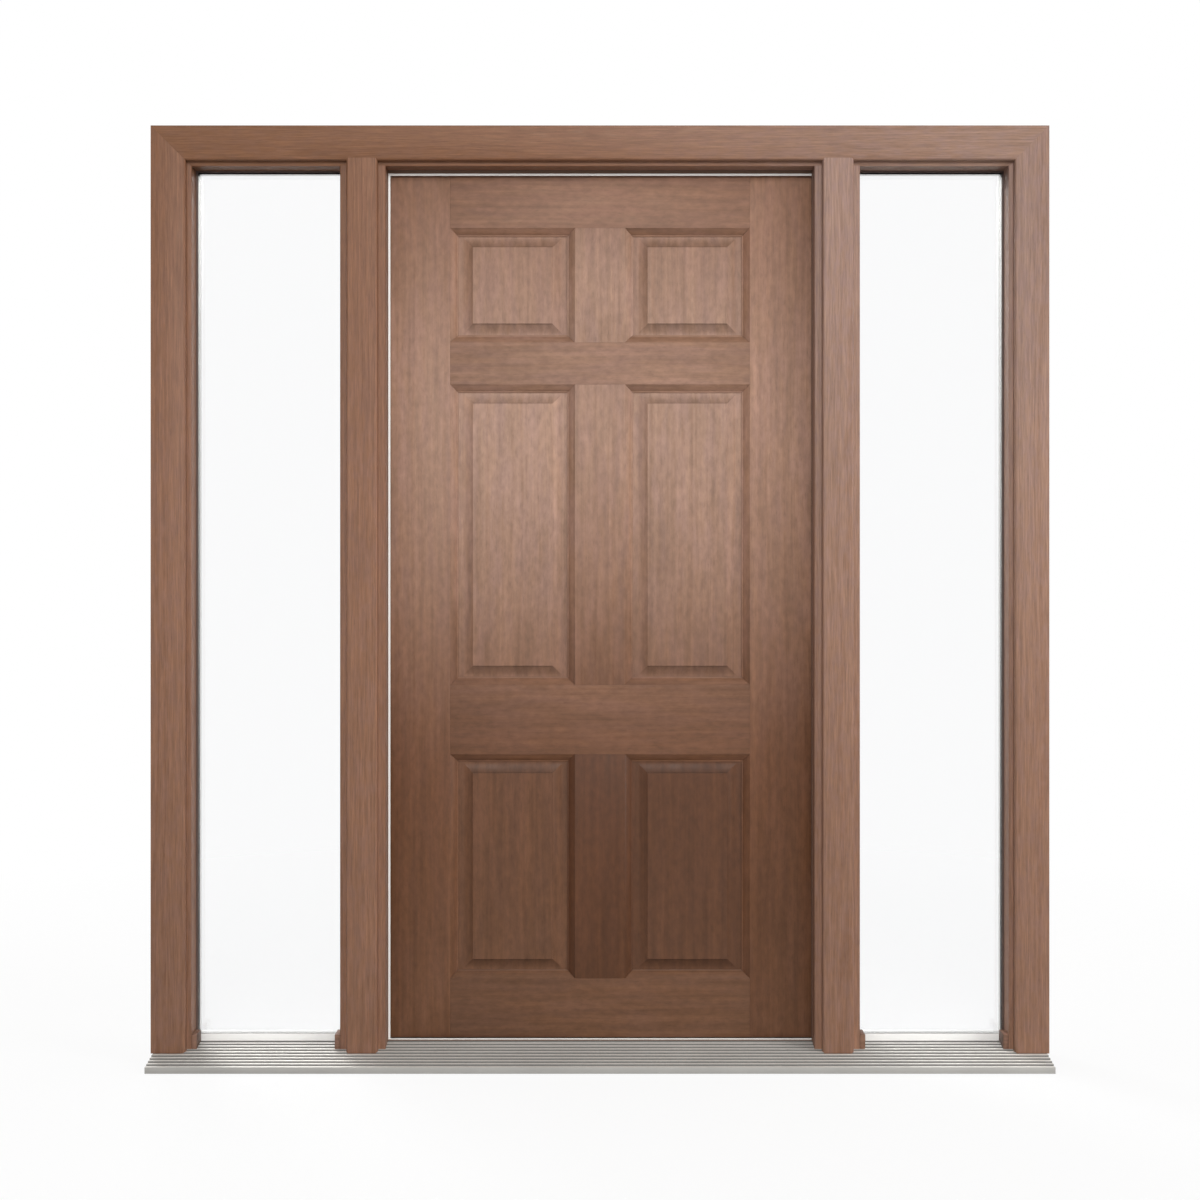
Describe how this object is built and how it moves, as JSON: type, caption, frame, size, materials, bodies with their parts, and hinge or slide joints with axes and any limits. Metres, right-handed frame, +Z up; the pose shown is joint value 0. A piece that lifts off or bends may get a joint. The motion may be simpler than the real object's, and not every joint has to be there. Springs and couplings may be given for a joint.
{
  "type": "timber panel door set",
  "caption": "Timber panel door leaf with raised and fielded panels in a mitred frame, glazed full-height sidelights and a stepped metal sill.",
  "frame": {"origin": "on the sill's flat underside, at mid width, below the frame's front face", "axes": "+X to the right seen from outside, +Y inwards through the wall, +Z up"},
  "size_m": [2.01, 0.2025, 2.1],
  "materials": {
    "timber": "satin stained hardwood, grain along each member",
    "sill_metal": "mill finish extrusion",
    "channel_metal": "white powder coated",
    "spacer_metal": "bright",
    "clear_glass": "clear float",
    "dark_rubber": "matt",
    "pale_rubber": "matt",
    "hinge_steel": "satin"
  },
  "bodies": {
    "frame": {"sill": "sill_metal", "head": "timber", "left_jamb": "timber", "right_jamb": "timber", "left_mullion": "timber", "right_mullion": "timber", "seal_carrier": "dark_rubber", "weather_seal": "pale_rubber", "left_light_outer_pane": "clear_glass", "left_light_inner_pane": "clear_glass", "left_light_spacer_bar": "spacer_metal", "left_light_gasket": "dark_rubber", "left_light_base_channel": "channel_metal", "left_light_bead_left": "timber", "left_light_bead_right": "timber", "left_light_bead_top": "timber", "right_light_outer_pane": "clear_glass", "right_light_inner_pane": "clear_glass", "right_light_spacer_bar": "spacer_metal", "right_light_gasket": "dark_rubber", "right_light_base_channel": "channel_metal", "right_light_bead_left": "timber", "right_light_bead_right": "timber", "right_light_bead_top": "timber", "light_foot_blocks": "timber", "hinge_frame_leaves": "hinge_steel", "hinge_pins": "hinge_steel"},
    "leaf": {"closing_stile": "timber", "hinge_stile": "timber", "bottom_rail": "timber", "lock_rail": "timber", "frieze_rail": "timber", "top_rail": "timber", "bottom_muntin": "timber", "bottom_left_panel": "timber", "bottom_right_panel": "timber", "middle_muntin": "timber", "middle_left_panel": "timber", "middle_right_panel": "timber", "top_muntin": "timber", "top_left_panel": "timber", "top_right_panel": "timber", "hinge_door_leaves": "hinge_steel"}
  },
  "joints": [
    {"name": "door_swing", "type": "hinge", "parent": "frame", "child": "leaf", "pos_m": [0.4945, 0.122, 1.07], "axis": [0, 0, -1], "range_deg": [0, 110]}
  ]
}
